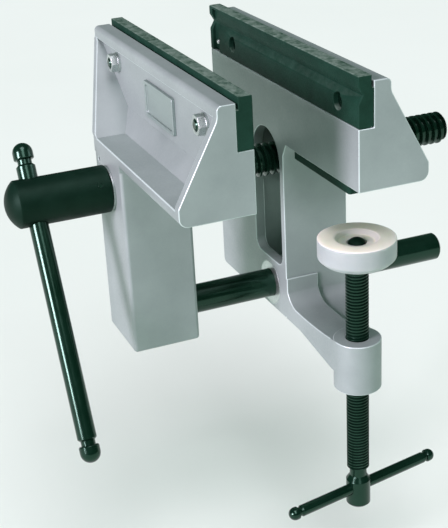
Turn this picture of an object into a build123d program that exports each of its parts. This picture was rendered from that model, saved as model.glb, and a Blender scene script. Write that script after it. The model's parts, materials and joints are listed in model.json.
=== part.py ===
from build123d import *
import math
import os

# Bench vise for holding a ski on edge while its edges are tuned. Millimetres, +Z up.
# Everything is drawn about a drawing point: x = 0 in the middle of the jaws, y = 0 midway
# between the two jaw pads, z = 0 at the underside of the jaws. The last step moves it all so
# that the origin is the middle of the underside of the table pad, where the vise sits on a table.

# Jaws
JAW_LENGTH = 180.0
JAW_HEIGHT = 53.2
JAW_GAP = 52.0
PAD_THICKNESS = 8.0
PAD_BOTTOM = 31.0
PAD_TOP = 56.0
JAW_LIP = 43.0
LIP_HEIGHT = 6.2
LIP_CORNER = 2.5
LIP_SWEEP = 8.0
PLATE_OUTSIDE = 40.5
SHELF_REACH = 63.5
SHELF_THICKNESS = 7.5
RIM_HEIGHT = 9.0
RIM_CORNER = 2.0
JAW_FOOT_CORNER = 4.5
BAND_TOP = 17.5
BAND_FOOT = 47.5
END_WALL = 5.0
SLOPE_FOOT_X = -33.0
SLOPE_LEAN = 1.345
SLOPE_WALL = 5.5

# Front column
COLUMN_FAR = -38.5
COLUMN_NEAR = 4.0
COLUMN_BOTTOM = -103.0
COLUMN_EDGE = 2.0
COLUMN_WALL = 5.0
POCKET_TOP = -33.0
POCKET_BOTTOM = -75.0
POCKET_CORNER = 3.0
OIL_HOLE_X = -31.5
OIL_HOLE_Z = -3.5
OIL_HOLE_R = 1.3
OIL_HOLE_DEPTH = 6.0

# Fits between round pieces: a moving one has FIT all round, a fixed one SNUG
FIT = 0.05
SNUG = 0.02
END_PLAY = 0.05

# Spindle and guide rod
AXIS_X = -17.0
SPINDLE_Z = -15.0
ROD_Z = -89.0
THREAD_R = 9.0
THREAD_PITCH = 4.0
THREAD_DEPTH = 2.0
JOURNAL_R = 7.0
SPINDLE_END = 135.4
ROD_R = 8.0
ROD_END = 133.8
ROD_START = -59.0
WASHER_R = 11.5
WASHER_THICKNESS = 1.0
BUSH_R = 10.0
GRUB_R = 2.5
GRUB_Y = -45.0
GRUB_SOCKET_R = 1.4
GRUB_REACH = 2.3

# Hub and handle
HUB_R = 12.5
HUB_TIP = -119.0
HUB_EDGE = 0.8
DOME = 6.0
BAR_Y = -104.0
BAR_R = 5.0
BAR_TILT = 29.0
BAR_LOWER = 135.6
BAR_UPPER = 31.0
BAR_STUB_R = 3.0
BAR_GROOVE_R = 3.7
BAR_GROOVE = 2.5
BAR_BEVEL = 0.2
KNOB_RIM = 0.6
KNOB_R = 5.3
KNOB_LENGTH = 9.0
STUB_LENGTH = 5.0
HUB_PIN_Y = -71.0
HUB_PIN_R = 1.2
HUB_PIN_SHORT = 0.1

# Rear casting
FRAME_FAR = -87.0
FRAME_NEAR = 5.0
FRAME_SKIN = 6.0
FRAME_WALL = 4.5
FRAME_CORNER = 3.0
SLOT_HALF = 17.5
SLOT_ARCH_Z = -14.0
SLOT_BOTTOM = -73.0
SLOT_CORNER = 6.0
HOUSING_FAR = -42.0
HOUSING_FRONT = 44.0
HOUSING_BOTTOM = -39.0
RIB = 4.0
ROOT_RISE = 7.0
ROD_HOUSING_R = 14.0
NUT_R = 13.5
NUT_FLANGE_R = 21.0
NUT_FLANGE = 5.0
NUT_SCREW_RING = 17.0
NUT_SCREW_ANGLES = (30, 150, 270)
NUT_SCREW_R = 2.5
NUT_SCREW_DEPTH = 11.0
NUT_SCREW_HEAD_R = 4.25
NUT_SCREW_HEAD = 5.0
NUT_SCREW_SOCKET_R = 2.3
ROD_BUSH_R = 11.0
ROD_BUSH_FLANGE_R = 12.5
ROD_BUSH_FLANGE = 2.0
ROD_BUSH_LENGTH = 14.0

# Clamp arm, screw and disc
CLAMP_X = 64.0
CLAMP_Y = 38.5
ARM_STEP_Y = 45.0
ARM_STEP = 1.2
ARM_TOP = -91.0
ARM_DIP = -93.0
ARM_DIP_X = 17.0
ARM_TAPER_X = 12.0
ARM_PAD = 1.0
ARM_PAD_TOP = -78.2
ARM_HEEL_TOP = -80.0
ARM_KINK_X = 20.0
ARM_END_BOTTOM = -108.0
BOSS_R = 12.5
BOSS_TOP = -90.0
BOSS_BOTTOM = -118.0
CLAMP_R = 6.0
CLAMP_PITCH = 1.75
CLAMP_DEPTH = 0.95
CLAMP_THREAD_END = -168.0
NECK_R = 4.6
COLLAR_R = 6.6
COLLAR_TOP = -175.0
COLLAR_BOTTOM = -192.0
COLLAR_EDGE = 1.2
NECK_TAPER = 1.5
DISC_R = 20.0
DISC_TOP = -34.0
DISC_RIM = 12.5
DISC_CHAMFER = 2.5
DISC_DISH_R = 11.3
DISC_DISH = 2.4
DISC_HUB_R = 8.0
DISC_HUB_DEPTH = 4.5
BORE_R = 5.0
TIP_R = 3.4
BORE_STEP = -41.6
PEG_R = 2.0
PEG_TOP = -38.5
BUTTON_R = 4.4
BUTTON_SIDE = -36.4
BUTTON_TOP = -34.2
CROSS_Z = -181.7
CROSS_R = 3.1
CROSS_LENGTH = 100.0
CROSS_SHIFT = 3.7
CROSS_TURN = 10.8
CROSS_STUB_R = 1.8
CROSS_GROOVE_R = 2.4
CROSS_GROOVE = 1.6
CROSS_KNOB_R = 3.5
CROSS_KNOB = 5.5
CROSS_STUB_LENGTH = 4.0

# Pads, their fasteners and the maker's plate
PAD_CORNER = 0.8
PAD_SCREW_X = (-58.0, 69.0)
PAD_SCREW_Z = 39.5
SCREW_R = 3.0
SCREW_HOLE_R = 3.15
HEAD_R = 4.2
HEAD_SINK = 2.5
HEAD_RIM = 0.6
HEAD_DEPTH = 2.6
HEAD_SOCKET_R = 1.9
SCREW_TAIL = 0.6
NUT_FLATS = 9.0
NUT_HEIGHT = 3.5
NUT_EDGE = 0.4
PAD_WASHER_R = 5.3
PAD_WASHER_HOLE_R = 3.2
PAD_WASHER = 1.4
GROOVE_Z = 47.0
GROOVE_HALF = 4.2
GROOVE_DEPTH = 2.4
RELIEF_X = (-86.0, -77.0)
RELIEF_DEPTH = 2.0
RELIEF_TOP = 54.5
BACK_RELIEF = 1.2
BACK_RELIEF_BOTTOM = 50.0
PIN_X = -81.5
PIN_Z = 36.3
PIN_R = 1.4
PIN_SINK = 0.6
PIN_DEPTH = 4.0
PIN_ROUNDING = 1.0
TABLE_PAD_X = (19.0, 80.0)
TABLE_PAD_Y = (26.0, 60.0)
TABLE_PAD = 4.0
TABLE_PAD_CORNER = 1.5
LABEL_X = (-12.0, 29.0)
LABEL_Z = (22.0, 41.0)
LABEL_THICKNESS = 1.6
LABEL_BORDER = 2.0
LABEL_RECESS = 0.8
LABEL_CORNER = 1.5

HALF_GAP = JAW_GAP / 2
HALF_JAW = JAW_LENGTH / 2
REBATE = HALF_GAP + PAD_THICKNESS
CLEAR = 80.0
OVER = 1.0
TO_ORIGIN = Pos(-sum(TABLE_PAD_X) / 2, -sum(TABLE_PAD_Y) / 2, TABLE_PAD)


def along_y(radius, low, high, x=AXIS_X, z=SPINDLE_Z):
    return Pos(x, (low + high) / 2, z) * Rot(X=90) * Cylinder(radius, high - low)


def along_z(radius, low, high, x=CLAMP_X, y=CLAMP_Y):
    return Pos(x, y, (low + high) / 2) * Cylinder(radius, high - low)


def block(x, y, z):
    size = [high - low for low, high in (x, y, z)]
    middle = [(low + high) / 2 for low, high in (x, y, z)]
    return Pos(*middle) * Box(*size)


def prism_x(points, low, high, rounded=()):
    """A solid whose outline is given in y and z, from x = low to x = high."""
    face = make_face(Polyline(*points, close=True))
    for corner, radius in rounded:
        face = fillet(face.vertices().sort_by_distance(corner)[0], radius)
    return Pos(low, 0, 0) * extrude(Plane.YZ * face, high - low)


def prism_y(points, low, high):
    """A solid whose outline is given in x and z, from y = low to y = high."""
    face = Plane.XZ * make_face(Polyline(*points, close=True))
    return Pos(0, high, 0) * extrude(face, high - low)


def turned(profile):
    """A solid of revolution about Z from its outline of radius and height."""
    return revolve(Plane.XZ * make_face(Polyline(*profile, close=True)), Axis.Z)


def dome(radius, low, high):
    """Arc that closes a round end, from (radius, low) to the axis at height high."""
    rise = high - low
    ball = (radius**2 + rise**2) / (2 * rise)
    half_turn = math.asin(radius / ball) / 2
    middle = (ball * math.sin(half_turn), high - ball + ball * math.cos(half_turn))
    return ThreePointArc((radius, low), middle, (0, high))


def thread_profile(radius, depth, pitch, start, end):
    """Outer line of a thread drawn as rings: flat crests, flat roots and sloping flanks."""
    crest, flank, bevel = 0.30 * pitch, 0.20 * pitch, 1.0
    line, height = [], start
    while height + pitch <= end:
        line.append((radius, height))
        line.append((radius, height + crest))
        line.append((radius - depth, height + crest + flank))
        line.append((radius - depth, height + pitch - flank))
        height += pitch
    return line + [(radius, height), (radius, end - bevel), (radius - bevel, end)]


def rear(shape):
    """The same shape on the rear jaw, which is a mirror image of the front one."""
    return mirror(shape, Plane.XZ)


# ---------------------------------------------------------------- jaws
def jaw():
    """One jaw with its outside towards -Y: plate, top lip, shelf, end wall and sloping wall."""
    lip_bottom = JAW_HEIGHT - LIP_HEIGHT
    body = prism_x(
        [
            (-HALF_GAP, 0),
            (-HALF_GAP, PAD_BOTTOM),
            (-REBATE, PAD_BOTTOM),
            (-REBATE, JAW_HEIGHT),
            (-JAW_LIP, JAW_HEIGHT),
            (-JAW_LIP, lip_bottom),
            (-SHELF_REACH, RIM_HEIGHT),
            (-SHELF_REACH, 0),
        ],
        -HALF_JAW,
        HALF_JAW,
        [
            ((-JAW_LIP, JAW_HEIGHT), LIP_CORNER),
            ((-JAW_LIP, lip_bottom), LIP_SWEEP),
            ((-SHELF_REACH, RIM_HEIGHT), RIM_CORNER),
            ((-SHELF_REACH, 0), JAW_FOOT_CORNER),
        ],
    )
    trough = prism_x(
        [
            (-PLATE_OUTSIDE, lip_bottom),
            (-PLATE_OUTSIDE, BAND_TOP),
            (-BAND_FOOT, SHELF_THICKNESS),
            (-CLEAR, SHELF_THICKNESS),
            (-CLEAR, JAW_HEIGHT + OVER),
            (-JAW_LIP, JAW_HEIGHT + OVER),
            (-JAW_LIP, lip_bottom),
        ],
        -HALF_JAW - OVER,
        HALF_JAW - END_WALL,
    )
    run = SLOPE_LEAN * (JAW_HEIGHT + OVER - SHELF_THICKNESS)
    inside = prism_y(
        [
            (SLOPE_FOOT_X, SHELF_THICKNESS - OVER),
            (SLOPE_FOOT_X, SHELF_THICKNESS),
            (SLOPE_FOOT_X - run, JAW_HEIGHT + OVER),
            (HALF_JAW, JAW_HEIGHT + OVER),
            (HALF_JAW, SHELF_THICKNESS - OVER),
        ],
        -CLEAR,
        0,
    )
    outer_foot = SLOPE_FOOT_X - SLOPE_WALL
    outside = prism_y(
        [
            (outer_foot, -OVER),
            (outer_foot, SHELF_THICKNESS),
            (outer_foot - run, JAW_HEIGHT + OVER),
            (-HALF_JAW - CLEAR, JAW_HEIGHT + OVER),
            (-HALF_JAW - CLEAR, -OVER),
        ],
        -CLEAR,
        -PLATE_OUTSIDE,
    )
    lip = body & block((-HALF_JAW, HALF_JAW), (-JAW_LIP, -REBATE), (lip_bottom, JAW_HEIGHT))
    body = body - (trough & inside) - outside + lip
    for x in PAD_SCREW_X:
        body -= along_y(SCREW_HOLE_R, -CLEAR, 0, x, PAD_SCREW_Z)
    return body


def front_casting():
    """Moving jaw with the column that carries the spindle's bearing and the guide rod."""
    across, deep = (COLUMN_FAR, COLUMN_NEAR), (-SHELF_REACH, -HALF_GAP)
    column = block(across, deep, (COLUMN_BOTTOM, 0))
    upright = column.edges().filter_by(Axis.Z)
    bottom = column.edges().group_by(Axis.Z)[0]
    column = fillet(list(upright) + list(bottom), COLUMN_EDGE)
    column += block(across, deep, (-OVER / 2, JAW_FOOT_CORNER))
    pocket = block(
        (COLUMN_FAR - OVER, COLUMN_NEAR - COLUMN_WALL),
        (-SHELF_REACH + COLUMN_WALL, -HALF_GAP - COLUMN_WALL),
        (POCKET_BOTTOM, POCKET_TOP),
    )
    pocket = fillet(pocket.edges().filter_by(Axis.X), POCKET_CORNER)
    body = jaw() + column - pocket
    body -= along_y(BUSH_R + SNUG, -CLEAR, 0)
    body -= along_y(ROD_R + SNUG, ROD_START - OVER, 0, AXIS_X, ROD_Z)
    body -= along_z(GRUB_R + SNUG, COLUMN_BOTTOM - OVER, ROD_Z, AXIS_X, GRUB_Y)
    oil_hole_end = -SHELF_REACH + OIL_HOLE_DEPTH
    return body - along_y(OIL_HOLE_R, -SHELF_REACH - OVER, oil_hole_end, OIL_HOLE_X, OIL_HOLE_Z)


# ---------------------------------------------------------------- rear casting
def arm_side():
    """Outline of the clamp arm in x and z, from inside the frame's wall to the boss."""
    root = FRAME_NEAR - OVER
    dip = (ARM_DIP_X, ARM_DIP)
    heel = (FRAME_NEAR, ARM_HEEL_TOP)
    with BuildSketch(Plane.XZ) as side:
        with BuildLine():
            Polyline(
                heel,
                (root, ARM_HEEL_TOP),
                (root, COLUMN_BOTTOM),
                (ARM_KINK_X, COLUMN_BOTTOM),
                (CLAMP_X - 8.5, ARM_END_BOTTOM),
                (CLAMP_X + 2 * OVER, ARM_END_BOTTOM),
                (CLAMP_X + 2 * OVER, BOSS_TOP),
                (CLAMP_X, BOSS_TOP),
            )
            ThreePointArc((CLAMP_X, BOSS_TOP), (2 * ARM_DIP_X, ARM_DIP + 0.2), dip)
            ThreePointArc(dip, (ARM_DIP_X / 2, ARM_DIP + 3.5), heel)
        make_face()
    return side.sketch


def arm_plan():
    """Outline of the clamp arm in x and y, tapering from the frame's depth to the boss."""
    root, tangent = FRAME_NEAR - OVER, CLAMP_Y + BOSS_R
    with BuildSketch() as plan:
        with BuildLine():
            Polyline((ARM_TAPER_X, SHELF_REACH), (root, SHELF_REACH), (root, HALF_GAP), (CLAMP_X, HALF_GAP))
            Line((CLAMP_X, HALF_GAP), (CLAMP_X, tangent))
            middle = (CLAMP_X + ARM_TAPER_X) / 2
            Bezier((CLAMP_X, tangent), (middle, tangent), (middle, SHELF_REACH), (ARM_TAPER_X, SHELF_REACH))
        make_face()
    return plan.sketch


def clamp_arm():
    """Arm from the foot of the frame out to the boss, its rear part a step lower on top."""
    level = Pos(0, 0, BOSS_BOTTOM) * extrude(arm_plan(), CLEAR)
    ahead = Pos(0, ARM_STEP_Y, 0) * extrude(arm_side(), ARM_STEP_Y)
    whole = Pos(0, CLEAR, 0) * extrude(arm_side(), CLEAR)
    lowered = whole & (Pos(-ARM_STEP, 0, -ARM_STEP) * whole)
    across = (FRAME_NEAR - OVER, FRAME_NEAR + ARM_PAD)
    heel = block(across, (HALF_GAP, ARM_STEP_Y), (COLUMN_BOTTOM, ARM_PAD_TOP))
    return ((ahead + lowered) & level) + heel + along_z(BOSS_R, BOSS_BOTTOM, BOSS_TOP)


def frame_shell():
    """Wide plate with a skin to the front and an open box behind it, stiffened by a rib."""
    back = SHELF_REACH
    frame = block((FRAME_FAR, FRAME_NEAR), (HALF_GAP, back), (COLUMN_BOTTOM, JAW_FOOT_CORNER))
    frame = fillet(frame.edges().filter_by(Axis.Y).group_by(Axis.Z)[0], FRAME_CORNER)
    cavity = block(
        (FRAME_FAR + FRAME_WALL, FRAME_NEAR - FRAME_WALL),
        (HALF_GAP + FRAME_SKIN, back + OVER),
        (COLUMN_BOTTOM + FRAME_SKIN, 0),
    )
    frame -= fillet(cavity.edges().filter_by(Axis.Y), FRAME_CORNER)
    housing = (HOUSING_FAR, FRAME_NEAR - OVER)
    frame += block(housing, (HOUSING_FRONT, back), (HOUSING_BOTTOM, OVER / 2))
    rib = (HOUSING_FAR, HOUSING_FAR + RIB)
    frame += block(rib, (HALF_GAP + OVER, back), (COLUMN_BOTTOM + OVER, OVER / 2))
    return frame + along_y(ROD_HOUSING_R, HALF_GAP, back, AXIS_X, ROD_Z)


def spindle_slot():
    """Arch-topped slot through the skin, open below the spindle."""
    low, high = HALF_GAP - OVER, HALF_GAP + FRAME_SKIN + OVER
    foot = block((AXIS_X - SLOT_HALF, AXIS_X + SLOT_HALF), (low, high), (SLOT_BOTTOM, SLOT_ARCH_Z))
    foot = fillet(foot.edges().filter_by(Axis.Y).group_by(Axis.Z)[0], SLOT_CORNER)
    return foot + along_y(SLOT_HALF, low, HOUSING_FRONT, AXIS_X, SLOT_ARCH_Z)


def rear_casting():
    """Fixed jaw, frame and clamp arm in one casting, with its machined bores."""
    back = SHELF_REACH
    root = prism_y(
        [
            (FRAME_NEAR - OVER, -ROOT_RISE),
            (FRAME_NEAR, -ROOT_RISE),
            (FRAME_NEAR + RIB, 0),
            (FRAME_NEAR + RIB, JAW_FOOT_CORNER),
            (FRAME_NEAR - OVER, JAW_FOOT_CORNER),
        ],
        HALF_GAP,
        back,
    )
    body = frame_shell() + root + clamp_arm() + rear(jaw()) - spindle_slot()
    body -= along_y(NUT_R + SNUG, HOUSING_FRONT - OVER, back + OVER)
    body -= along_y(ROD_BUSH_R + SNUG, HALF_GAP - OVER, back + OVER, AXIS_X, ROD_Z)
    for face in (HALF_GAP, back):
        low, high = face - ROD_BUSH_FLANGE, face + ROD_BUSH_FLANGE
        body -= along_y(ROD_BUSH_FLANGE_R + SNUG, low, high, AXIS_X, ROD_Z)
    body -= along_y(PIN_R + SNUG, REBATE - OVER, REBATE + PIN_DEPTH + FIT, PIN_X, PIN_Z)
    for x, z in nut_screw_places():
        body -= along_y(NUT_SCREW_R + SNUG, back - NUT_SCREW_DEPTH - OVER, back + OVER, x, z)
    return body - along_z(CLAMP_R + FIT, BOSS_BOTTOM - OVER, BOSS_TOP + OVER)


# ---------------------------------------------------------------- pads and fasteners
def pad_screw(x):
    """Countersunk screw whose head sits in the pad of the jaw on the -Y side."""
    face = -HALF_GAP - HEAD_SINK
    length = face + PLATE_OUTSIDE + PAD_WASHER + NUT_HEIGHT + SCREW_TAIL
    screw = turned(
        [
            (0, 0),
            (HEAD_R, 0),
            (HEAD_R, -HEAD_RIM),
            (SCREW_R, -HEAD_DEPTH),
            (SCREW_R, -length + COLUMN_EDGE / 2),
            (SCREW_R - COLUMN_EDGE / 2, -length),
            (0, -length),
        ]
    )
    screw -= Cylinder(HEAD_SOCKET_R, HEAD_DEPTH)
    return Pos(x, face, PAD_SCREW_Z) * Rot(X=-90) * screw


def pad(grooved):
    """Rubber pad of the jaw on the -Y side, with countersunk holes for its two screws."""
    body = block((-HALF_JAW, HALF_JAW), (-REBATE, -HALF_GAP), (PAD_BOTTOM, PAD_TOP))
    body = fillet(body.edges().filter_by(Axis.X), PAD_CORNER)
    if grooved:
        body -= prism_x(
            [
                (-HALF_GAP + OVER, GROOVE_Z - GROOVE_HALF),
                (-HALF_GAP, GROOVE_Z - GROOVE_HALF),
                (-HALF_GAP - GROOVE_DEPTH, GROOVE_Z),
                (-HALF_GAP, GROOVE_Z + GROOVE_HALF),
                (-HALF_GAP + OVER, GROOVE_Z + GROOVE_HALF),
            ],
            -HALF_JAW - OVER,
            HALF_JAW + OVER,
        )
        relief = (-HALF_GAP - RELIEF_DEPTH, -HALF_GAP + OVER)
        body -= block(RELIEF_X, relief, (PAD_BOTTOM - OVER, RELIEF_TOP))
        body -= along_y(PIN_R + SNUG, -CLEAR, 0, PIN_X, PIN_Z)
    back = (-REBATE - OVER, -REBATE + BACK_RELIEF)
    body -= block((-CLEAR - CLEAR, CLEAR + CLEAR), back, (BACK_RELIEF_BOTTOM, PAD_TOP + OVER))
    sunk = turned(
        [
            (0, HEAD_SINK + OVER),
            (HEAD_R + 2 * FIT, HEAD_SINK + OVER),
            (HEAD_R + 2 * FIT, -HEAD_RIM - FIT),
            (SCREW_R + 2 * FIT, -HEAD_DEPTH - 2 * FIT),
            (0, -HEAD_DEPTH - 2 * FIT),
        ]
    )
    for x in PAD_SCREW_X:
        body -= along_y(SCREW_HOLE_R, -CLEAR, 0, x, PAD_SCREW_Z)
        body -= Pos(x, -HALF_GAP - HEAD_SINK, PAD_SCREW_Z) * Rot(X=-90) * sunk
    return body


def pad_pin():
    """Round-ended pin through the channel of the rear pad into the jaw."""
    body = along_y(PIN_R, HALF_GAP + PIN_SINK, REBATE + PIN_DEPTH, PIN_X, PIN_Z)
    return fillet(body.edges().group_by(Axis.Y)[0], PIN_ROUNDING)


def pad_washer(x):
    ring = along_y(PAD_WASHER_R, -PLATE_OUTSIDE - PAD_WASHER, -PLATE_OUTSIDE, x, PAD_SCREW_Z)
    return ring - along_y(PAD_WASHER_HOLE_R, -CLEAR, 0, x, PAD_SCREW_Z)


def pad_nut(x):
    """Hexagon nut with its corners turned off at both ends."""
    corner = NUT_FLATS / 2 / math.cos(math.radians(30))
    nut = extrude(RegularPolygon(corner, 6), NUT_HEIGHT)
    cone = turned(
        [
            (0, 0),
            (corner - NUT_EDGE, 0),
            (corner, NUT_EDGE),
            (corner, NUT_HEIGHT - NUT_EDGE),
            (corner - NUT_EDGE, NUT_HEIGHT),
            (0, NUT_HEIGHT),
        ]
    )
    nut = (nut & cone) - Cylinder(SCREW_R + SNUG, 4 * NUT_HEIGHT)
    return Pos(x, -PLATE_OUTSIDE - PAD_WASHER, PAD_SCREW_Z) * Rot(X=90) * nut


def label_plate():
    """Plain plate with a raised border, glued flat on the front jaw."""
    low = -PLATE_OUTSIDE - LABEL_THICKNESS
    plate = block(LABEL_X, (low, -PLATE_OUTSIDE), LABEL_Z)
    plate = fillet(plate.edges().filter_by(Axis.Y), LABEL_CORNER)
    inner_x = (LABEL_X[0] + LABEL_BORDER, LABEL_X[1] - LABEL_BORDER)
    inner_z = (LABEL_Z[0] + LABEL_BORDER, LABEL_Z[1] - LABEL_BORDER)
    inner = block(inner_x, (low - OVER, low + LABEL_RECESS), inner_z)
    return plate - fillet(inner.edges().filter_by(Axis.Y), LABEL_CORNER)


def table_pad():
    body = block(TABLE_PAD_X, TABLE_PAD_Y, (-TABLE_PAD, 0))
    return fillet(body.edges().filter_by(Axis.Z), TABLE_PAD_CORNER)


# ---------------------------------------------------------------- spindle and guide rod
def spindle():
    """Turned bar: plain journal in the hub and column, ring-grooved thread behind it."""
    start = BAR_Y + BAR_R + COLUMN_EDGE
    shoulder = -HALF_GAP + WASHER_THICKNESS + END_PLAY
    outline = [(0, start), (JOURNAL_R - OVER, start), (JOURNAL_R, start + OVER), (JOURNAL_R, shoulder)]
    outline += thread_profile(THREAD_R, THREAD_DEPTH, THREAD_PITCH, shoulder, SPINDLE_END)
    outline.append((0, SPINDLE_END))
    body = Pos(AXIS_X, 0, SPINDLE_Z) * Rot(X=-90) * turned(outline)
    return body - hub_pin(HUB_PIN_R + SNUG, 2 * HUB_R)


def hub_pin(radius=HUB_PIN_R, length=2 * (HUB_R - HUB_PIN_SHORT)):
    """Pin across the hub, square to the handle."""
    return Pos(AXIS_X, HUB_PIN_Y, SPINDLE_Z) * Rot(Y=90 - BAR_TILT) * Cylinder(radius, length)


def across_hub(shape):
    """Places a shape that lies along Z so that +Z points down the lower half of the handle."""
    return Pos(AXIS_X, BAR_Y, SPINDLE_Z) * Rot(Y=180 - BAR_TILT) * shape


def handle_hub():
    """Turned hub with a domed front end, bored for the spindle, the handle and the pin."""
    inner = -SHELF_REACH - WASHER_THICKNESS - END_PLAY
    length = inner - HUB_TIP
    with BuildSketch(Plane.XZ) as half:
        with BuildLine():
            Polyline((0, length), (0, 0), (HUB_R - HUB_EDGE, 0), (HUB_R, HUB_EDGE), (HUB_R, length - DOME))
            dome(HUB_R, length - DOME, length)
        make_face()
    body = Pos(AXIS_X, inner, SPINDLE_Z) * Rot(X=90) * revolve(half.sketch, Axis.Z)
    body -= along_y(JOURNAL_R + SNUG, BAR_Y + BAR_R + COLUMN_EDGE - OVER / 2, inner + OVER)
    body -= across_hub(Cylinder(BAR_R + FIT, 4 * HUB_R))
    return body - hub_pin(HUB_PIN_R + SNUG, 4 * HUB_R)


def bar(radius, low, high, groove_r, groove, stub_r, stub):
    """Bar along Z with a groove beside each end and a stub that its cap is pressed on."""
    bevel = BAR_BEVEL * radius
    return turned(
        [
            (0, low - stub),
            (stub_r, low - stub),
            (stub_r, low),
            (groove_r, low),
            (groove_r, low + groove),
            (radius - bevel, low + groove),
            (radius, low + groove + bevel),
            (radius, high - groove - bevel),
            (radius - bevel, high - groove),
            (groove_r, high - groove),
            (groove_r, high),
            (stub_r, high),
            (stub_r, high + stub),
            (0, high + stub),
        ]
    )


def knob(radius, length, stub_r, stub):
    """End cap with a half-round end for a bar, open end at z = 0."""
    side = (radius, length - radius)
    with BuildSketch(Plane.XZ) as half:
        with BuildLine():
            Polyline(
                (0, length),
                (0, stub),
                (stub_r, stub),
                (stub_r, 0),
                (radius - KNOB_RIM, 0),
                (radius, KNOB_RIM),
                side,
            )
            dome(*side, length)
        make_face()
    return revolve(half.sketch, Axis.Z)


HANDLE_LOW = -BAR_UPPER + KNOB_LENGTH
HANDLE_HIGH = BAR_LOWER - KNOB_LENGTH


def handle_bar():
    shape = bar(BAR_R, HANDLE_LOW, HANDLE_HIGH, BAR_GROOVE_R, BAR_GROOVE, BAR_STUB_R, STUB_LENGTH)
    return across_hub(shape)


def handle_knobs():
    cap = knob(KNOB_R, KNOB_LENGTH, BAR_STUB_R + SNUG, STUB_LENGTH)
    lower = Pos(0, 0, HANDLE_HIGH) * cap
    upper = Pos(0, 0, HANDLE_LOW) * Rot(X=180) * cap
    return [across_hub(lower), across_hub(upper)]


def guide_rod():
    """Plain rod with a chamfered free end and a dimple for the grub screw."""
    body = along_y(ROD_R, ROD_START, ROD_END, AXIS_X, ROD_Z)
    body = chamfer(body.edges().group_by(Axis.Y)[-1], OVER)
    foot = ROD_Z - ROD_R
    return body - along_z(GRUB_R + SNUG, foot - OVER, foot + GRUB_REACH + FIT, AXIS_X, GRUB_Y)


def rod_grub_screw():
    low = COLUMN_BOTTOM + 1.5
    body = along_z(GRUB_R, low, ROD_Z - ROD_R + GRUB_REACH, AXIS_X, GRUB_Y)
    return body - Pos(AXIS_X, GRUB_Y, low) * extrude(RegularPolygon(GRUB_SOCKET_R, 6), 3)


def spindle_bush():
    return along_y(BUSH_R, -SHELF_REACH, -HALF_GAP) - along_y(JOURNAL_R + FIT, -CLEAR, 0)


def thrust_washers():
    outer = along_y(WASHER_R, -SHELF_REACH - WASHER_THICKNESS, -SHELF_REACH)
    inner = along_y(WASHER_R, -HALF_GAP, -HALF_GAP + WASHER_THICKNESS)
    hole = along_y(JOURNAL_R + FIT, -CLEAR, 0)
    return [outer - hole, inner - hole]


def nut_screw_places():
    for angle in NUT_SCREW_ANGLES:
        turn = math.radians(angle)
        yield AXIS_X + NUT_SCREW_RING * math.cos(turn), SPINDLE_Z + NUT_SCREW_RING * math.sin(turn)


def spindle_nut():
    """Flanged bronze nut, let into the back of the rear casting."""
    body = along_y(NUT_R, HOUSING_FRONT, SHELF_REACH)
    body += along_y(NUT_FLANGE_R, SHELF_REACH, SHELF_REACH + NUT_FLANGE)
    body = chamfer(body.edges().group_by(Axis.Y)[-1], HUB_EDGE)
    for x, z in nut_screw_places():
        body -= along_y(NUT_SCREW_R + 0.25, SHELF_REACH - OVER, SHELF_REACH + NUT_FLANGE + OVER, x, z)
    return body - along_y(THREAD_R + FIT, 0, CLEAR)


def nut_screws():
    """Socket head cap screws that hold the nut's flange."""
    face = SHELF_REACH + NUT_FLANGE
    screws = []
    for x, z in nut_screw_places():
        shank = along_y(NUT_SCREW_R, SHELF_REACH - NUT_SCREW_DEPTH, face, x, z)
        head = along_y(NUT_SCREW_HEAD_R, face, face + NUT_SCREW_HEAD, x, z)
        head = fillet(head.edges().group_by(Axis.Y)[-1], OVER / 2)
        socket = extrude(RegularPolygon(NUT_SCREW_SOCKET_R, 6), NUT_SCREW_HEAD / 2 + OVER)
        screws.append(shank + head - Pos(x, face + NUT_SCREW_HEAD + OVER, z) * Rot(X=90) * socket)
    return screws


def rod_bushes():
    """Two flanged steel bushes, one let into each face of the rear casting."""
    bushes = []
    for face, way in ((HALF_GAP, 1), (SHELF_REACH, -1)):
        ends = sorted((face, face + way * ROD_BUSH_LENGTH))
        rim = sorted((face, face + way * ROD_BUSH_FLANGE))
        bush = along_y(ROD_BUSH_R, *ends, AXIS_X, ROD_Z)
        bush += along_y(ROD_BUSH_FLANGE_R, *rim, AXIS_X, ROD_Z)
        bushes.append(bush - along_y(ROD_R + FIT, 0, CLEAR, AXIS_X, ROD_Z))
    return bushes


# ---------------------------------------------------------------- clamp
def cross_way(shape):
    """Places a shape that lies along Z so that it lies along the clamp's cross bar."""
    return Pos(CLAMP_X, CLAMP_Y, CROSS_Z) * Rot(Z=CROSS_TURN) * Rot(X=-90) * shape


def clamp_screw():
    """Turned screw: collar and neck at the foot, thread, and a tip with a peg for its button."""
    shoulder = DISC_TOP - DISC_RIM - DISC_HUB_DEPTH - END_PLAY
    rest = BORE_STEP + 2 * FIT
    outline = [
        (0, COLLAR_BOTTOM),
        (COLLAR_R - COLLAR_EDGE, COLLAR_BOTTOM),
        (COLLAR_R, COLLAR_BOTTOM + COLLAR_EDGE),
        (COLLAR_R, COLLAR_TOP - NECK_TAPER),
        (NECK_R, COLLAR_TOP + NECK_TAPER),
        (NECK_R, CLAMP_THREAD_END - OVER / 2),
    ]
    outline += thread_profile(CLAMP_R, CLAMP_DEPTH, CLAMP_PITCH, CLAMP_THREAD_END, shoulder)
    outline += [
        (TIP_R, shoulder),
        (TIP_R, rest),
        (PEG_R, rest),
        (PEG_R, PEG_TOP),
        (0, PEG_TOP),
    ]
    body = Pos(CLAMP_X, CLAMP_Y, 0) * turned(outline)
    return body - cross_way(Cylinder(CROSS_R + FIT, 4 * COLLAR_R))


CROSS_HALF = CROSS_LENGTH / 2 - CROSS_KNOB


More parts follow.
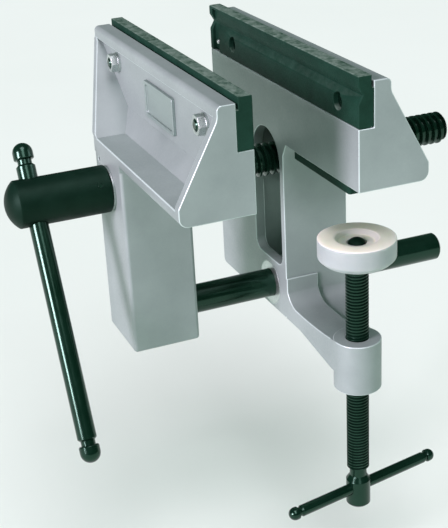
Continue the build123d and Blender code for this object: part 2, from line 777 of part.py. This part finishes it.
def clamp_bar():
    low, high = CROSS_SHIFT - CROSS_HALF, CROSS_SHIFT + CROSS_HALF
    shape = bar(CROSS_R, low, high, CROSS_GROOVE_R, CROSS_GROOVE, CROSS_STUB_R, CROSS_STUB_LENGTH)
    return cross_way(shape)


def clamp_bar_knobs():
    cap = knob(CROSS_KNOB_R, CROSS_KNOB, CROSS_STUB_R + SNUG, CROSS_STUB_LENGTH)
    behind = Pos(0, 0, CROSS_SHIFT + CROSS_HALF) * cap
    ahead = Pos(0, 0, CROSS_SHIFT - CROSS_HALF) * Rot(X=180) * cap
    return [cross_way(behind), cross_way(ahead)]


def clamp_disc():
    """Nylon pressure disc, coned below and dished above, bored in a step for the screw's tip."""
    low = DISC_TOP - DISC_RIM
    dish = DISC_TOP - DISC_DISH
    body = turned(
        [
            (0, low - DISC_HUB_DEPTH),
            (DISC_HUB_R, low - DISC_HUB_DEPTH),
            (DISC_R - DISC_CHAMFER, low),
            (DISC_R, low + DISC_CHAMFER),
            (DISC_R, DISC_TOP - HUB_EDGE),
            (DISC_R - HUB_EDGE, DISC_TOP),
            (DISC_DISH_R, DISC_TOP),
            (DISC_DISH_R - DISC_DISH, dish),
            (0, dish),
        ]
    )
    body = Pos(CLAMP_X, CLAMP_Y, 0) * body
    body -= along_z(BORE_R, BORE_STEP, DISC_TOP + OVER)
    return body - along_z(TIP_R + FIT, low - DISC_HUB_DEPTH - OVER, DISC_TOP)


def tip_button():
    """Domed button pressed on the screw's peg; it holds the disc on the screw."""
    rest, roof = BORE_STEP + 2 * FIT, PEG_TOP + SNUG
    with BuildSketch(Plane.XZ) as half:
        with BuildLine():
            Polyline(
                (0, BUTTON_TOP),
                (0, roof),
                (PEG_R + SNUG, roof),
                (PEG_R + SNUG, rest),
                (BUTTON_R, rest),
                (BUTTON_R, BUTTON_SIDE),
            )
            dome(BUTTON_R, BUTTON_SIDE, BUTTON_TOP)
        make_face()
    return Pos(CLAMP_X, CLAMP_Y, 0) * revolve(half.sketch, Axis.Z)


# ---------------------------------------------------------------- all pieces
FRONT_BUSH, REAR_BUSH = rod_bushes()

PIECES = {
    "rear_casting": rear_casting(),
    "rear_pad": rear(pad(True)),
    "pad_pin": pad_pin(),
    "rear_pad_screws": [rear(pad_screw(x)) for x in PAD_SCREW_X],
    "rear_pad_washers": [rear(pad_washer(x)) for x in PAD_SCREW_X],
    "rear_pad_nuts": [rear(pad_nut(x)) for x in PAD_SCREW_X],
    "table_pad": table_pad(),
    "spindle_nut": spindle_nut(),
    "nut_screws": nut_screws(),
    "front_rod_bush": FRONT_BUSH,
    "rear_rod_bush": REAR_BUSH,
    "front_casting": front_casting(),
    "front_pad": pad(False),
    "front_pad_screws": [pad_screw(x) for x in PAD_SCREW_X],
    "front_pad_washers": [pad_washer(x) for x in PAD_SCREW_X],
    "front_pad_nuts": [pad_nut(x) for x in PAD_SCREW_X],
    "label_plate": label_plate(),
    "guide_rod": guide_rod(),
    "rod_grub_screw": rod_grub_screw(),
    "spindle_bush": spindle_bush(),
    "thrust_washers": thrust_washers(),
    "spindle": spindle(),
    "handle_hub": handle_hub(),
    "hub_pin": hub_pin(),
    "handle_bar": handle_bar(),
    "handle_knobs": handle_knobs(),
    "clamp_disc": clamp_disc(),
    "clamp_screw": clamp_screw(),
    "tip_button": tip_button(),
    "clamp_bar": clamp_bar(),
    "clamp_bar_knobs": clamp_bar_knobs(),
}

os.makedirs("parts", exist_ok=True)
for name, shape in PIECES.items():
    solids = shape if isinstance(shape, list) else [shape]
    placed = [TO_ORIGIN * s for s in solids]
    export_step(placed[0] if len(placed) == 1 else Compound(children=placed), f"parts/{name}.step")
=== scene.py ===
import json
import math

import bmesh
import bpy
from mathutils import Matrix, Quaternion, Vector


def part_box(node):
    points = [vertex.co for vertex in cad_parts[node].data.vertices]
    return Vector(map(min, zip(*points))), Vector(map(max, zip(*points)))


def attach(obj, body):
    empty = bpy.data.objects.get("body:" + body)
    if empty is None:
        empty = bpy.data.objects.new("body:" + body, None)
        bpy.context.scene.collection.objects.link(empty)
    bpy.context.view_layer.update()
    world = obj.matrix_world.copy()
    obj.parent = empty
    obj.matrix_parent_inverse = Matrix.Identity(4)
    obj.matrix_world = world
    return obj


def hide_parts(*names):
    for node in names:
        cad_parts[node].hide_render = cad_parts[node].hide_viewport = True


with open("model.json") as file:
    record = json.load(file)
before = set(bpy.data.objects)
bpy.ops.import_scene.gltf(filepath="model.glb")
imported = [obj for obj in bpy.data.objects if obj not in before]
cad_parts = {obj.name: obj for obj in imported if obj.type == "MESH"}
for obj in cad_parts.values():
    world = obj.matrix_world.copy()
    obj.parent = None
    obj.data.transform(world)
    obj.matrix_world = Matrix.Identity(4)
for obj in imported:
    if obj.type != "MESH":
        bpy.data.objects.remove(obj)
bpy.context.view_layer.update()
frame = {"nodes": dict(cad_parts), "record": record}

# Looks for a ski vise. Lengths are in metres, in the CAD model's frame: +X over the table,
# +Y along the spindle towards the fixed jaw, +Z up.
MM = 0.001
BODIES = {node: body for body, nodes in frame["record"]["behaviour"]["bodies"].items() for node in nodes}
ROUND = 72
SHARP = 32.0


# ---------------------------------------------------------------- materials
def new_material(name):
    """An empty material with its shader, ready for procedural detail."""
    material = bpy.data.materials.new(name)
    material.use_nodes = True
    tree = material.node_tree
    shader = tree.nodes["Principled BSDF"]
    return material, tree, shader


def place_input(tree):
    return tree.nodes.new("ShaderNodeTexCoord").outputs["Object"]


def noise(tree, scale, detail=3.0, roughness=0.5, stretch=None):
    """Noise over the object's own space, stretched along an axis if asked."""
    node = tree.nodes.new("ShaderNodeTexNoise")
    node.inputs["Scale"].default_value = scale
    node.inputs["Detail"].default_value = detail
    node.inputs["Roughness"].default_value = roughness
    place = place_input(tree)
    if stretch:
        mapping = tree.nodes.new("ShaderNodeMapping")
        mapping.inputs["Scale"].default_value = stretch
        tree.links.new(place, mapping.inputs["Vector"])
        place = mapping.outputs["Vector"]
    tree.links.new(place, node.inputs["Vector"])
    return node.outputs["Fac"]


def ramp(tree, value, stops):
    """Colour ramp from a list of (position, colour or grey)."""
    node = tree.nodes.new("ShaderNodeValToRGB")
    elements = node.color_ramp.elements
    while len(elements) < len(stops):
        elements.new(0.5)
    for element, (position, colour) in zip(elements, stops):
        element.position = position
        rgb = colour if isinstance(colour, (tuple, list)) else (colour,) * 3
        element.color = (*rgb, 1.0)
    tree.links.new(value, node.inputs["Fac"])
    return node.outputs["Color"]


def bump(tree, height, strength, distance, below=None):
    node = tree.nodes.new("ShaderNodeBump")
    node.inputs["Strength"].default_value = strength
    node.inputs["Distance"].default_value = distance
    tree.links.new(height, node.inputs["Height"])
    if below:
        tree.links.new(below, node.inputs["Normal"])
    return node.outputs["Normal"]


def by_facing(tree, side, top):
    """One colour on what faces sideways or down, another on what faces up."""
    split = tree.nodes.new("ShaderNodeSeparateXYZ")
    tree.links.new(tree.nodes.new("ShaderNodeNewGeometry").outputs["Normal"], split.inputs["Vector"])
    up = ramp(tree, split.outputs["Z"], [(0.45, 0.0), (0.85, 1.0)])
    mix = tree.nodes.new("ShaderNodeMix")
    mix.data_type = "RGBA"
    tree.links.new(up, mix.inputs["Factor"])
    tree.links.new(side, mix.inputs["A"])
    tree.links.new(top, mix.inputs["B"])
    return mix.outputs["Result"]


def cast_aluminium(name, shade=1.0, rough=(0.40, 0.56), grain=0.5):
    """Tumbled casting: slow colour drift, a fine grain and a few shallow pits."""
    material, tree, shader = new_material(name)
    drift = noise(tree, 38.0, 4.0, 0.55)
    low = tuple(shade * c for c in (0.235, 0.315, 0.285))
    high = tuple(shade * c for c in (0.285, 0.375, 0.34))
    tree.links.new(ramp(tree, drift, [(0.30, low), (0.70, high)]), shader.inputs["Base Color"])
    speckle = noise(tree, 900.0, 2.0, 0.6)
    tree.links.new(ramp(tree, speckle, [(0.3, rough[0]), (0.7, rough[1])]), shader.inputs["Roughness"])
    skin = bump(tree, noise(tree, 150.0, 3.0, 0.5), 0.12 * grain, 0.6 * MM)
    fine = bump(tree, noise(tree, 1500.0, 2.0, 0.6), 0.35 * grain, 0.12 * MM, skin)
    tree.links.new(fine, shader.inputs["Normal"])
    shader.inputs["Metallic"].default_value = 0.25
    shader.inputs["Specular IOR Level"].default_value = 0.5
    return material


def black_steel(name, rough=(0.15, 0.21), shade=1.0, gloss=0.55):
    """Black oxide with a trace of oil: dark and smooth, with a slow drift of its colour and gloss."""
    material, tree, shader = new_material(name)
    drift = noise(tree, 60.0, 4.0, 0.6)
    steps = [(0.30, (0.001, 0.008, 0.004)), (0.62, (0.003, 0.014, 0.008)), (0.85, (0.008, 0.026, 0.016))]
    colours = [(place, tuple(shade * c for c in colour)) for place, colour in steps]
    tree.links.new(ramp(tree, drift, colours), shader.inputs["Base Color"])
    film = noise(tree, 140.0, 3.0, 0.5)
    tree.links.new(ramp(tree, film, [(0.3, rough[0]), (0.7, rough[1])]), shader.inputs["Roughness"])
    tree.links.new(bump(tree, noise(tree, 700.0, 2.0, 0.5), 0.03, 0.03 * MM), shader.inputs["Normal"])
    shader.inputs["Specular IOR Level"].default_value = gloss
    shader.inputs["Specular Tint"].default_value = (0.48, 1.0, 0.72, 1.0)
    return material


def rubber(name):
    """Ground rubber: nearly black on its sides; what faces up is much paler, which is painted top light,
    and mottled by dust.
    """
    material, tree, shader = new_material(name)
    drift = noise(tree, 90.0, 5.0, 0.65)
    side = ramp(tree, drift, [(0.25, (0.003, 0.024, 0.013)), (0.75, (0.008, 0.044, 0.026))])
    mottle = noise(tree, 240.0, 4.0, 0.7)
    greys = [(0.34, (0.020, 0.060, 0.036)), (0.50, (0.085, 0.15, 0.11)), (0.66, (0.15, 0.23, 0.18))]
    lit_dusty_top = ramp(tree, mottle, greys)
    # Up-facing surfaces take the paler colour: painted top light, with the dust mottle in it.
    tree.links.new(by_facing(tree, side, lit_dusty_top), shader.inputs["Base Color"])
    pebble = noise(tree, 1300.0, 2.0, 0.7)
    tree.links.new(ramp(tree, pebble, [(0.3, 0.55), (0.7, 0.78)]), shader.inputs["Roughness"])
    tree.links.new(bump(tree, pebble, 0.5, 0.15 * MM), shader.inputs["Normal"])
    shader.inputs["Specular IOR Level"].default_value = 0.12
    return material


def bright_steel(name):
    """Zinc plate: pale, with the slight yellow and blue drift of its passivation."""
    material, tree, shader = new_material(name)
    drift = noise(tree, 220.0, 3.0, 0.5)
    colours = [(0.3, (0.46, 0.54, 0.51)), (0.7, (0.58, 0.66, 0.62))]
    tree.links.new(ramp(tree, drift, colours), shader.inputs["Base Color"])
    marks = noise(tree, 1600.0, 2.0, 0.6)
    tree.links.new(ramp(tree, marks, [(0.3, 0.24), (0.7, 0.40)]), shader.inputs["Roughness"])
    tree.links.new(bump(tree, marks, 0.15, 0.05 * MM), shader.inputs["Normal"])
    shader.inputs["Metallic"].default_value = 0.9
    return material


def bronze(name):
    material, tree, shader = new_material(name)
    drift = noise(tree, 160.0, 4.0, 0.55)
    colours = [(0.3, (0.42, 0.27, 0.12)), (0.7, (0.58, 0.41, 0.21))]
    tree.links.new(ramp(tree, drift, colours), shader.inputs["Base Color"])
    marks = noise(tree, 1.0, 2.0, 0.5, (60.0, 2400.0, 60.0))
    tree.links.new(ramp(tree, marks, [(0.3, 0.26), (0.7, 0.42)]), shader.inputs["Roughness"])
    tree.links.new(bump(tree, marks, 0.15, 0.05 * MM), shader.inputs["Normal"])
    shader.inputs["Metallic"].default_value = 0.95
    return material


def brushed_plate(name):
    """Satin plate brushed along its length."""
    material, tree, shader = new_material(name)
    lines = noise(tree, 1.0, 3.0, 0.6, (30.0, 900.0, 3000.0))
    colours = [(0.3, (0.30, 0.39, 0.36)), (0.7, (0.38, 0.49, 0.45))]
    tree.links.new(ramp(tree, lines, colours), shader.inputs["Base Color"])
    tree.links.new(ramp(tree, lines, [(0.3, 0.34), (0.7, 0.50)]), shader.inputs["Roughness"])
    tree.links.new(bump(tree, lines, 0.15, 0.04 * MM), shader.inputs["Normal"])
    shader.inputs["Metallic"].default_value = 0.75
    return material


def nylon(name):
    """Turned natural nylon: milky and translucent, with faint turning rings; its upper face is painted
    much paler and cream, as painted top light.
    """
    material, tree, shader = new_material(name)
    drift = noise(tree, 70.0, 4.0, 0.6)
    side = ramp(tree, drift, [(0.3, (0.32, 0.41, 0.38)), (0.7, (0.36, 0.45, 0.41))])
    painted_lit_top = ramp(tree, drift, [(0.3, (0.78, 0.88, 0.70)), (0.7, (0.86, 0.94, 0.76))])
    # Up-facing surfaces take the far paler cream colour: painted top light.
    tree.links.new(by_facing(tree, side, painted_lit_top), shader.inputs["Base Color"])
    marks = noise(tree, 1.0, 2.0, 0.5, (120.0, 120.0, 2600.0))
    tree.links.new(ramp(tree, marks, [(0.3, 0.36), (0.7, 0.52)]), shader.inputs["Roughness"])
    tree.links.new(bump(tree, marks, 0.12, 0.05 * MM), shader.inputs["Normal"])
    shader.inputs["Subsurface Weight"].default_value = 0.85
    shader.inputs["Subsurface Radius"].default_value = (1.0, 0.9, 0.8)
    shader.inputs["Subsurface Scale"].default_value = 7.0 * MM
    return material


CASTING = cast_aluminium("cast_aluminium_skin")
# The edge material is the casting made 1.8 times paler and glossier: a painted highlight on the rounded
# edges.
CASTING_EDGE_HIGHLIGHT = cast_aluminium("cast_aluminium_painted_edge_highlight", 1.8, (0.26, 0.38), 0.3)
STEEL = black_steel("black_steel_oiled")
STEEL_DULL = black_steel("black_steel_turned", (0.42, 0.52), 1.0, 0.16)
RUBBER = rubber("black_rubber_ground")
ZINC = bright_steel("zinc_plate")
BRONZE = bronze("bearing_bronze")
PLATE = brushed_plate("satin_plate")
NYLON = nylon("turned_nylon")


# ---------------------------------------------------------------- mesh helpers
def add_object(name, bm, materials):
    """Makes a shown mesh object from a bmesh."""
    mesh = bpy.data.meshes.new(name)
    bm.to_mesh(mesh)
    bm.free()
    for material in materials:
        mesh.materials.append(material)
    made = bpy.data.objects.new(name, mesh)
    bpy.context.scene.collection.objects.link(made)
    return made


def stand_for(piece, *nodes):
    """The piece replaces these nodes and rides on their body."""
    flat = piece.modifiers.new("flat_faces_stay_flat", "WEIGHTED_NORMAL")
    flat.keep_sharp = True
    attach(piece, BODIES[nodes[0]])
    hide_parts(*nodes)
    return piece


def smooth_by_angle(bm, degrees=SHARP):
    limit = math.radians(degrees)
    for face in bm.faces:
        face.smooth = True
    for edge in bm.edges:
        edge.smooth = len(edge.link_faces) == 2 and edge.calc_face_angle(0.0) < limit


def node_shape(node):
    """The CAD node's mesh with its flat faces joined up, as a bmesh."""
    bm = bmesh.new()
    bm.from_mesh(frame["nodes"][node].data)
    bmesh.ops.remove_doubles(bm, verts=bm.verts, dist=1e-6)
    bmesh.ops.dissolve_limit(bm, angle_limit=math.radians(0.2), verts=bm.verts, edges=bm.edges)
    for face in bm.faces:
        face.material_index = 0
    return bm


def add_bevel(piece, width, segments=3, degrees=SHARP, edge_material=-1, by_weight=False):
    modifier = piece.modifiers.new("edges", "BEVEL")
    modifier.width = width
    modifier.segments = segments
    modifier.limit_method = "WEIGHT" if by_weight else "ANGLE"
    modifier.angle_limit = math.radians(degrees)
    modifier.use_clamp_overlap = False
    modifier.harden_normals = True
    modifier.material = edge_material
    return modifier


def eased(node, name, materials, width, segments=3, degrees=SHARP):
    """A copy of a CAD node with its edges rounded, standing for the node."""
    bm = node_shape(node)
    smooth_by_angle(bm, degrees)
    piece = add_object(name, bm, materials)
    add_bevel(piece, width, segments, degrees)
    return stand_for(piece, node)


def room_at(edge, width):
    """How wide a bevel this edge has room for: under half of any short edge that it meets at a corner."""
    room = width
    for corner in edge.verts:
        along = (edge.other_vert(corner).co - corner.co).normalized()
        for other in corner.link_edges:
            if other == edge:
                continue
            away = (other.other_vert(corner).co - corner.co).normalized()
            if along.dot(away) > -0.85:
                room = min(room, 0.4 * other.calc_length() * math.sqrt(max(0.0, 1 - along.dot(away) ** 2)))
    return room


def casting_with_edge_highlight(node, name):
    """A casting whose outer edges are rounded, the rounds in a paler, glossier material: a painted
    highlight along the edges.
    """
    bm = node_shape(node)
    smooth_by_angle(bm)
    weight = bm.edges.layers.float.new("bevel_weight_edge")
    limit = math.radians(SHARP)
    for edge in bm.edges:
        outer = len(edge.link_faces) == 2 and edge.calc_face_angle_signed(0.0) > limit
        share = room_at(edge, EDGE_BEVEL_WIDTH) / EDGE_BEVEL_WIDTH if outer else 0.0
        edge[weight] = share if share > 0.3 else 0.0
    piece = add_object(name, bm, [CASTING, CASTING_EDGE_HIGHLIGHT])
    add_bevel(piece, EDGE_BEVEL_WIDTH, 3, SHARP, 1, True)
    return stand_for(piece, node)


def cut_off(bm, place, direction):
    """Keeps what lies behind the plane and closes the cut."""
    geometry = list(bm.verts) + list(bm.edges) + list(bm.faces)
    bmesh.ops.bisect_plane(bm, geom=geometry, plane_co=place, plane_no=direction, clear_outer=True)
    bmesh.ops.holes_fill(bm, edges=[edge for edge in bm.edges if edge.is_boundary], sides=0)


def screw_thread(radius, depth, pitch, low, high, bevel):
    """Real helical thread along Z, as a closed bmesh: each column starts a little higher than the last."""
    shape = ((0.0, 0.08), (0.03, 0.0), (0.27, 0.0), (0.30, 0.08),
             (0.48, 0.93), (0.52, 1.0), (0.78, 1.0), (0.82, 0.93))
    turns = math.ceil((high - low) / pitch) + 2
    bm = bmesh.new()
    columns = []
    for step in range(ROUND):
        angle = 2 * math.pi * step / ROUND
        column = []
        for turn in range(turns):
            for share, sunk in shape:
                height = low + pitch * (turn - 1 + share + step / ROUND)
                reach = min(radius - depth * sunk, radius - bevel + max(0.0, high - height))
                column.append(bm.verts.new((reach * math.cos(angle), reach * math.sin(angle), height)))
        columns.append(column)
    for step in range(ROUND):
        here = columns[step]
        there = columns[step + 1] if step + 1 < ROUND else columns[0][len(shape):]
        for row in range(min(len(here), len(there)) - 1):
            bm.faces.new((here[row], there[row], there[row + 1], here[row + 1]))
    cut_off(bm, (0, 0, low), (0, 0, -1))
    cut_off(bm, (0, 0, high), (0, 0, 1))
    smooth_by_angle(bm)
    return bm


def lathed(profile):
    """Closed bmesh turned about Z from (radius, height) points that start and end on the axis."""
    bm = bmesh.new()
    rings = []
    for radius, height in profile:
        if radius == 0:
            rings.append([bm.verts.new((0, 0, height))] * ROUND)
            continue
        angles = [2 * math.pi * step / ROUND for step in range(ROUND)]
        rings.append([bm.verts.new((radius * math.cos(a), radius * math.sin(a), height)) for a in angles])
    for lower, upper in zip(rings, rings[1:]):
        for step in range(ROUND):
            after = (step + 1) % ROUND
            corners = [lower[step], lower[after], upper[after], upper[step]]
            bm.faces.new(list(dict.fromkeys(corners)))
    bmesh.ops.recalc_face_normals(bm, faces=bm.faces)
    smooth_by_angle(bm)
    return bm


def rounded(points, radius, steps=4):
    """The same outline with each inner point replaced by a small curve."""
    line = [Vector(points[0])]
    for before, point, after in zip(points, points[1:], points[2:]):
        before, point, after = Vector(before), Vector(point), Vector(after)
        reach = min(radius, (before - point).length / 2.1, (after - point).length / 2.1)
        start = point + (before - point).normalized() * reach
        end = point + (after - point).normalized() * reach
        for step in range(steps + 1):
            share = step / steps
            line.append(start * (1 - share) ** 2 + point * 2 * share * (1 - share) + end * share**2)
    line.append(Vector(points[-1]))
    return [(point.x, point.y) for point in line]


def join_into(bm, other, matrix):
    """Adds another bmesh, moved by the matrix, and frees it."""
    bmesh.ops.transform(other, matrix=matrix, verts=other.verts)
    mesh = bpy.data.meshes.new("joined")
    other.to_mesh(mesh)
    other.free()
    bm.from_mesh(mesh)
    bpy.data.meshes.remove(mesh)


def ease_edges(bm, width):
    """Rounds the sharp edges of a bmesh at once."""
    limit = math.radians(SHARP)
    sharp = [edge for edge in bm.edges if len(edge.link_faces) == 2 and edge.calc_face_angle(0.0) > limit]
    bmesh.ops.bevel(
        bm, geom=sharp, offset=width, segments=2, profile=0.5, affect="EDGES", clamp_overlap=True
    )
    smooth_by_angle(bm)


def middle_of(node):
    low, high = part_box(node)
    return (Vector(low) + Vector(high)) / 2


# ---------------------------------------------------------------- castings
# Width of the rounded casting edges, which carry the painted edge highlight.
EDGE_BEVEL_WIDTH = 0.45 * MM
casting_with_edge_highlight("rear_casting", "fixed_jaw_casting")
casting_with_edge_highlight("front_casting", "moving_jaw_casting")

# ---------------------------------------------------------------- pads and plate
eased("rear_pad", "fixed_jaw_pad", [RUBBER], 0.35 * MM)
eased("front_pad", "moving_jaw_pad", [RUBBER], 0.35 * MM)
eased("table_pad", "table_rest_pad", [RUBBER], 0.5 * MM)
eased("label_plate", "maker_plate", [PLATE], 0.25 * MM)

# ---------------------------------------------------------------- small parts, each with its edges eased
ZINC_NODES = (
    "rear_pad_washers", "front_pad_washers", "rear_pad_nuts", "front_pad_nuts",
    "thrust_washers", "pad_pin", "front_rod_bush", "rear_rod_bush",
)
BRONZE_NODES = ("spindle_nut", "spindle_bush")
STEEL_NODES = (
    "rear_pad_screws", "front_pad_screws", "nut_screws", "rod_grub_screw", "hub_pin", "guide_rod",
    "handle_knobs", "clamp_bar", "clamp_bar_knobs",
)
for nodes, material, width in (
    (ZINC_NODES, ZINC, 0.12),
    (BRONZE_NODES, BRONZE, 0.2),
    (STEEL_NODES, STEEL, 0.15),
    (("handle_bar",), STEEL, 0.05),
):
    for node in nodes:
        eased(node, node + "_finished", [material], width * MM, 2)
eased("handle_hub", "turned_hub", [STEEL_DULL], 0.4 * MM)
eased("tip_button", "tip_button_finished", [STEEL_DULL], 0.15 * MM, 2)


# ---------------------------------------------------------------- spindle
def main_spindle():
    """Plain journal from the CAD shape, then a helical thread to the free end."""
    low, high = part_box("spindle")
    middle = middle_of("spindle")
    start = low[1] + JOURNAL
    bm = node_shape("spindle")
    cut_off(bm, (0, start, 0), (0, 1, 0))
    smooth_by_angle(bm)
    turn = Matrix.Translation((middle.x, 0, middle.z)) @ Matrix.Rotation(-math.pi / 2, 4, "X")
    thread = screw_thread(SPINDLE_R, SPINDLE_DEPTH, SPINDLE_PITCH, start, high[1], SPINDLE_CHAMFER)
    join_into(bm, thread, turn)
    return stand_for(add_object("main_spindle", bm, [STEEL]), "spindle")


JOURNAL = 72.05 * MM
SPINDLE_R = 9.0 * MM
SPINDLE_DEPTH = 2.0 * MM
SPINDLE_PITCH = 4.0 * MM
SPINDLE_CHAMFER = 1.0 * MM
main_spindle()


# ---------------------------------------------------------------- clamp screw
def clamp_spindle():
    """Collar and neck from the CAD shape, a helical thread, and the tip inside the disc."""
    low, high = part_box("clamp_screw")
    middle = middle_of("clamp_screw")
    start, shoulder = low[2] + COLLAR, high[2] - TIP
    bm = node_shape("clamp_screw")
    cut_off(bm, (0, 0, start), (0, 0, 1))
    ease_edges(bm, 0.3 * MM)
    centre = Matrix.Translation((middle.x, middle.y, 0))
    thread = screw_thread(CLAMP_R, CLAMP_DEPTH, CLAMP_PITCH, start - 0.1 * MM, shoulder, CLAMP_CHAMFER)
    join_into(bm, thread, centre)
    foot, step, end = shoulder - MM, high[2] - PEG, high[2]
    tip = [(0, foot), (TIP_R, foot), (TIP_R, step), (PEG_R, step), (PEG_R, end), (0, end)]
    join_into(bm, lathed(tip), centre)
    return stand_for(add_object("clamp_spindle_threaded", bm, [STEEL]), "clamp_screw")


COLLAR = 24.0 * MM
TIP = 12.55 * MM
TIP_R = 3.4 * MM
PEG = 3.0 * MM
PEG_R = 2.0 * MM
CLAMP_R = 6.0 * MM
CLAMP_DEPTH = 0.95 * MM
CLAMP_PITCH = 1.75 * MM
CLAMP_CHAMFER = 0.8 * MM
clamp_spindle()


# ---------------------------------------------------------------- pressure disc
def lathed_ring(profile):
    """Closed bmesh turned about Z from an outline that never meets the axis and ends where it starts."""
    bm = bmesh.new()
    angles = [2 * math.pi * step / ROUND for step in range(ROUND)]
    rings = []
    for radius, height in profile[:-1]:
        rings.append([bm.verts.new((radius * math.cos(a), radius * math.sin(a), height)) for a in angles])
    rings.append(rings[0])
    for lower, upper in zip(rings, rings[1:]):
        for step in range(ROUND):
            after = (step + 1) % ROUND
            bm.faces.new((lower[step], lower[after], upper[after], upper[step]))
    bmesh.ops.recalc_face_normals(bm, faces=bm.faces)
    smooth_by_angle(bm)
    return bm


def pressure_disc():
    """Nylon disc turned with a flat rim, a dish, a bore for the button and a coned underside."""
    low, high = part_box("clamp_disc")
    middle = middle_of("clamp_disc")
    top, foot, edge = high[2], low[2], high[0] - middle.x
    step, dish = top - BORE_DEPTH, top - DISH_DEPTH
    outline = [
        (BORE_FOOT_R, foot),
        (DISC_HUB_R, foot),
        (edge - DISC_CHAMFER, foot + DISC_HUB_DEPTH),
        (edge, foot + DISC_HUB_DEPTH + DISC_CHAMFER),
        (edge, top),
        (DISH_R, top),
        (DISH_R - DISH_DEPTH, dish),
        (BORE_R, dish),
        (BORE_R, step),
        (BORE_FOOT_R, step),
        (BORE_FOOT_R, foot),
    ]
    bm = lathed_ring(rounded(outline, DISC_SOFTNESS))
    bmesh.ops.transform(bm, matrix=Matrix.Translation((middle.x, middle.y, 0)), verts=bm.verts)
    return stand_for(add_object("nylon_disc", bm, [NYLON]), "clamp_disc")


BORE_R = 5.0 * MM
BORE_FOOT_R = 3.45 * MM
BORE_DEPTH = 7.6 * MM
DISC_HUB_R = 8.0 * MM
DISC_HUB_DEPTH = 4.5 * MM
DISC_CHAMFER = 2.5 * MM
DISH_R = 11.3 * MM
DISH_DEPTH = 2.4 * MM
DISC_SOFTNESS = 0.7 * MM
pressure_disc()


# ---------------------------------------------------------------- stage
FLOOR_REACH = 60.0
CLAMP_DROP = 39.0 * MM


def floor():
    """Plain pale floor just below the lowest point that the clamp screw reaches."""
    bm = bmesh.new()
    bmesh.ops.create_grid(bm, x_segments=1, y_segments=1, size=FLOOR_REACH)
    material, tree, shader = new_material("pale_floor")
    tint = ramp(tree, noise(tree, 3.0), [(0.3, (0.70, 0.88, 0.74)), (0.7, (0.72, 0.90, 0.76))])
    tree.links.new(tint, shader.inputs["Base Color"])
    shader.inputs["Roughness"].default_value = 0.85
    shader.inputs["Specular IOR Level"].default_value = 0.2
    made = add_object("floor", bm, [material])
    made.location.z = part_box("clamp_screw")[0][2] - CLAMP_DROP


def sun_light(name, towards, angle, strength, colour):
    """Soft light from far away, coming from the given direction."""
    data = bpy.data.lights.new(name, "SUN")
    data.angle = angle
    data.energy = strength
    data.color = colour
    lamp = bpy.data.objects.new(name, data)
    lamp.rotation_euler = Vector(towards).to_track_quat("Z", "Y").to_euler()
    bpy.context.scene.collection.objects.link(lamp)


def world_light(colour, strength):
    world = bpy.data.worlds.new("studio")
    world.use_nodes = True
    background = world.node_tree.nodes["Background"]
    background.inputs["Color"].default_value = (*colour, 1.0)
    background.inputs["Strength"].default_value = strength
    bpy.context.scene.world = world


CAMERA_PLACE = Vector((0.5174, -0.2720, 0.2105))
CAMERA_AIM = Vector((0.0064, -0.0731, -0.0331))
CAMERA_LENS = 84.0
CAMERA_ROLL = math.radians(-3.08)


def camera():
    data = bpy.data.cameras.new("camera")
    data.lens = CAMERA_LENS
    made = bpy.data.objects.new("camera", data)
    made.location = CAMERA_PLACE
    made.rotation_mode = "QUATERNION"
    level = (CAMERA_AIM - CAMERA_PLACE).to_track_quat("-Z", "Y")
    made.rotation_quaternion = level @ Quaternion((0.0, 0.0, 1.0), CAMERA_ROLL)
    bpy.context.scene.collection.objects.link(made)
    bpy.context.scene.camera = made


floor()
sun_light("key", (0.27, -0.91, 0.30), 0.35, 4.8, (1.0, 0.74, 0.95))
sun_light("top", (0.28, -0.04, 0.95), 0.6, 1.6, (1.0, 0.76, 0.93))
sun_light("side", (0.66, -0.10, 0.74), 0.5, 0.9, (0.97, 0.88, 1.0))
world_light((0.40, 1.0, 0.74), 0.14)
camera()
bpy.context.scene.view_settings.view_transform = "Standard"
